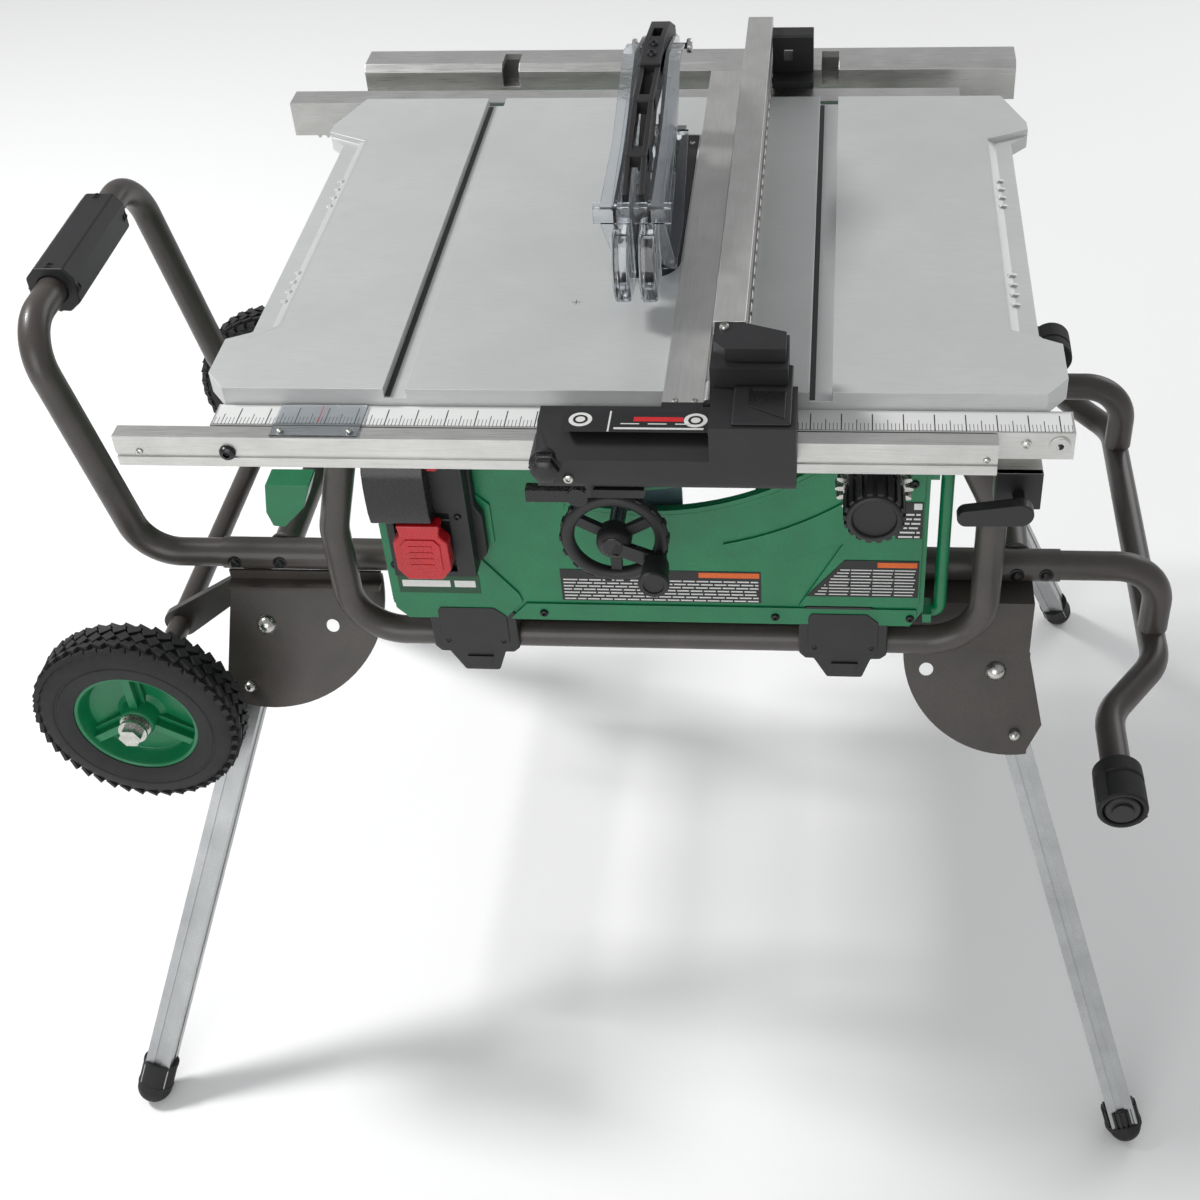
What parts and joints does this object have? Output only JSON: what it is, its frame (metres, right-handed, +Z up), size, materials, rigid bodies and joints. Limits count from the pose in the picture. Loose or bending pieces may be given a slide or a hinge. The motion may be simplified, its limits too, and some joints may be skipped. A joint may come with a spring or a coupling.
{
  "type": "jobsite table saw with folding wheeled stand",
  "caption": "Jobsite table saw with a sliding rack-and-pinion rip fence, tilting blade with guard, and a folding wheeled tube stand",
  "frame": {"origin": "middle of the overall box, on the floor", "axes": "X along the rails, left to right as the operator stands; Y from the operator towards the outfeed side; Z up"},
  "size_m": [1.1134, 0.8584, 1.002],
  "materials": {
    "tube_steel": "satin powder coat, warm dark grey",
    "black_plastic": "fine grained moulded nylon",
    "rubber": "moulded rubber",
    "leg_aluminium": "mill finish extrusion",
    "zinc": "bright zinc plate",
    "green_plastic": "semi-gloss moulded green",
    "tyre": "solid tyre rubber",
    "table_alloy": "die cast, ground and clear coated",
    "rail_alloy": "clear anodised extrusion",
    "blade_steel": "ground saw plate",
    "cast_black": "black e-coat",
    "cast_alloy": "as cast",
    "red_plastic": "moulded red plastic",
    "clear_plastic": "clear polycarbonate",
    "tape": "printed tape"
  },
  "bodies": {
    "stand": {"stand_frame": "tube_steel", "pull_handle": "tube_steel", "handle_grip": "black_plastic", "end_loop": "tube_steel", "loop_caps": "rubber", "leg_plates": "tube_steel", "leg_pivot_bolts": "zinc", "axle_brackets": "tube_steel", "axle": "zinc", "saw_clamps": "black_plastic", "base_cage": "tube_steel", "housing": "green_plastic", "table": "table_alloy", "throat_plate": "black_plastic", "front_guide_rail": "rail_alloy", "scale_tape": "tape", "switch_box": "black_plastic", "side_hook": "green_plastic"},
    "front_left_leg": {"leg_front_left": "leg_aluminium", "foot_front_left": "rubber"},
    "rear_left_leg": {"leg_rear_left": "leg_aluminium", "foot_rear_left": "rubber"},
    "front_right_leg": {"leg_front_right": "leg_aluminium"},
    "rear_right_leg": {"leg_rear_right": "leg_aluminium", "foot_rear_right": "rubber"},
    "screw_foot": {"levelling_foot": "rubber"},
    "front_left_button": {"lock_button_front_left": "zinc"},
    "rear_left_button": {"lock_button_rear_left": "zinc"},
    "front_right_button": {"lock_button_front_right": "zinc"},
    "rear_right_button": {"lock_button_rear_right": "zinc"},
    "front_wheel": {"rim_front": "green_plastic", "tyre_front": "tyre"},
    "rear_wheel": {"rim_rear": "green_plastic", "tyre_rear": "tyre"},
    "rails": {"front_slide_rail": "rail_alloy", "rear_slide_rail": "rail_alloy", "fence_beam": "rail_alloy", "fence_head": "black_plastic", "fence_rear_bracket": "black_plastic"},
    "shelf": {"fence_shelf": "rail_alloy"},
    "fence_catch": {"fence_latch": "black_plastic"},
    "pinions": {"pinion_shaft": "zinc", "rip_knob": "black_plastic"},
    "rail_lock": {"rail_lock_lever": "cast_black"},
    "outfeed": {"outfeed_support": "rail_alloy"},
    "cradle": {"bevel_cradle": "cast_alloy"},
    "bevel_lock": {"bevel_lock_lever": "black_plastic"},
    "height_wheel": {"handwheel": "black_plastic"},
    "spin_knob": {"crank_knob": "black_plastic"},
    "screw": {"lift_screw": "zinc"},
    "lift": {"arbor_block": "cast_alloy", "motor": "cast_black", "riving_knife": "blade_steel", "guard_carrier": "black_plastic"},
    "spindle": {"arbor": "zinc", "blade": "blade_steel"},
    "guard_arms": {"guard_link": "black_plastic"},
    "left_guard": {"guard_left": "clear_plastic"},
    "right_guard": {"guard_right": "clear_plastic"},
    "paddle": {"switch_paddle": "red_plastic"}
  },
  "joints": [
    {"name": "front_left_leg_fold", "type": "hinge", "parent": "stand", "child": "front_left_leg", "pos_m": [-0.35025, -0.18746, 0.50388], "axis": [0, -0.8949, 0.4462], "range_deg": [0, 107.2]},
    {"name": "rear_left_leg_fold", "type": "hinge", "parent": "stand", "child": "rear_left_leg", "pos_m": [-0.35025, 0.18746, 0.50388], "axis": [0, -0.8949, -0.4462], "range_deg": [0, 107.2]},
    {"name": "front_right_leg_fold", "type": "hinge", "parent": "stand", "child": "front_right_leg", "pos_m": [0.38275, -0.20219, 0.47435], "axis": [0, 0.8949, -0.4462], "range_deg": [0, 107.2]},
    {"name": "rear_right_leg_fold", "type": "hinge", "parent": "stand", "child": "rear_right_leg", "pos_m": [0.38275, 0.20219, 0.47435], "axis": [0, 0.8949, 0.4462], "range_deg": [0, 107.2]},
    {"name": "levelling_foot_turn", "type": "hinge", "parent": "front_right_leg", "child": "screw_foot", "pos_m": [0.53825, -0.41066, 0.017], "axis": [0.2957, -0.4262, -0.8549], "continuous": true},
    {"name": "front_left_button_press", "type": "slide", "parent": "stand", "child": "front_left_button", "axis": [0, 0.8949, -0.4462], "range_m": [0, 0.003], "stiffness_N_per_m": 600, "springref_m": -0.002},
    {"name": "rear_left_button_press", "type": "slide", "parent": "stand", "child": "rear_left_button", "axis": [0, -0.8949, -0.4462], "range_m": [0, 0.003], "stiffness_N_per_m": 600, "springref_m": -0.002},
    {"name": "front_right_button_press", "type": "slide", "parent": "stand", "child": "front_right_button", "axis": [0, 0.8949, -0.4462], "range_m": [0, 0.003], "stiffness_N_per_m": 600, "springref_m": -0.002},
    {"name": "rear_right_button_press", "type": "slide", "parent": "stand", "child": "rear_right_button", "axis": [0, -0.8949, -0.4462], "range_m": [0, 0.003], "stiffness_N_per_m": 600, "springref_m": -0.002},
    {"name": "front_wheel_turn", "type": "hinge", "parent": "stand", "child": "front_wheel", "pos_m": [-0.45525, -0.289, 0.477], "axis": [0, 1, 0], "continuous": true},
    {"name": "rear_wheel_turn", "type": "hinge", "parent": "stand", "child": "rear_wheel", "pos_m": [-0.45525, 0.289, 0.477], "axis": [0, 1, 0], "continuous": true},
    {"name": "rail_slide", "type": "slide", "parent": "stand", "child": "rails", "axis": [1, 0, 0], "range_m": [0, 0.4775]},
    {"name": "pinion_turn", "type": "hinge", "parent": "stand", "child": "pinions", "pos_m": [0.25475, -0.269, 0.76425], "axis": [0, 1, 0], "range_deg": [-5, 915]},
    {"name": "shelf_flip", "type": "hinge", "parent": "rails", "child": "shelf", "pos_m": [0.11625, 0.031, 0.852], "axis": [0, 1, 0], "range_deg": [0, 90]},
    {"name": "fence_catch_turn", "type": "hinge", "parent": "rails", "child": "fence_catch", "pos_m": [0.02375, -0.353, 0.808], "axis": [0, 0, -1], "range_deg": [0, 60]},
    {"name": "rail_lock_turn", "type": "hinge", "parent": "stand", "child": "rail_lock", "pos_m": [0.37475, -0.299, 0.766], "axis": [0, -1, 0], "range_deg": [0, 45]},
    {"name": "outfeed_pull", "type": "slide", "parent": "stand", "child": "outfeed", "axis": [0, 1, 0], "range_m": [0, 0.12]},
    {"name": "bevel_tilt", "type": "hinge", "parent": "stand", "child": "cradle", "pos_m": [0.04775, -0.269, 0.848], "axis": [0, -1, 0], "range_deg": [0, 45]},
    {"name": "bevel_lock_turn", "type": "hinge", "parent": "cradle", "child": "bevel_lock", "pos_m": [0.00775, -0.319, 0.782], "axis": [0, -1, 0], "range_deg": [0, 40]},
    {"name": "blade_lift", "type": "slide", "parent": "cradle", "child": "lift", "axis": [0, 0, 1], "range_m": [-0.079, 0]},
    {"name": "height_wheel_turn", "type": "hinge", "parent": "cradle", "child": "height_wheel", "pos_m": [0.03275, -0.309, 0.723], "axis": [0, -1, 0], "range_deg": [-1430, 5]},
    {"name": "lift_screw_turn", "type": "hinge", "parent": "cradle", "child": "screw", "pos_m": [0.03275, -0.069, 0.748], "axis": [0, 0, 1], "range_deg": [-1430, 5]},
    {"name": "spin_knob_turn", "type": "hinge", "parent": "height_wheel", "child": "spin_knob", "pos_m": [0.06975, -0.329, 0.707], "axis": [0, 1, 0], "continuous": true},
    {"name": "blade_spin", "type": "hinge", "parent": "lift", "child": "spindle", "pos_m": [0.04775, 0.061, 0.8], "axis": [1, 0, 0], "continuous": true},
    {"name": "guard_arm_swing", "type": "hinge", "parent": "lift", "child": "guard_arms", "pos_m": [0.04775, 0.146, 0.968], "axis": [-1, 0, 0], "range_deg": [0, 27.5]},
    {"name": "left_guard_lift", "type": "hinge", "parent": "guard_arms", "child": "left_guard", "pos_m": [0.04775, 0.146, 0.968], "axis": [-1, 0, 0], "range_deg": [0, 10.5]},
    {"name": "right_guard_lift", "type": "hinge", "parent": "guard_arms", "child": "right_guard", "pos_m": [0.04775, 0.146, 0.968], "axis": [-1, 0, 0], "range_deg": [0, 20]},
    {"name": "paddle_press", "type": "hinge", "parent": "stand", "child": "paddle", "pos_m": [-0.14825, -0.265, 0.705], "axis": [1, 0, 0], "range_deg": [0, 6], "stiffness_Nm_per_rad": 0.6, "springref_deg": -2.86}
  ],
  "couplings": [
    {"joint": "pinion_turn", "follows": "rail_slide", "rad_per_m": 33.333},
    {"joint": "height_wheel_turn", "follows": "blade_lift", "rad_per_m": 314.16},
    {"joint": "lift_screw_turn", "follows": "blade_lift", "rad_per_m": 314.16},
    {"joint": "guard_arm_swing", "follows": "blade_lift", "rad_per_m": -5.965},
    {"joint": "left_guard_lift", "follows": "bevel_tilt", "ratio": 0.22222}
  ]
}
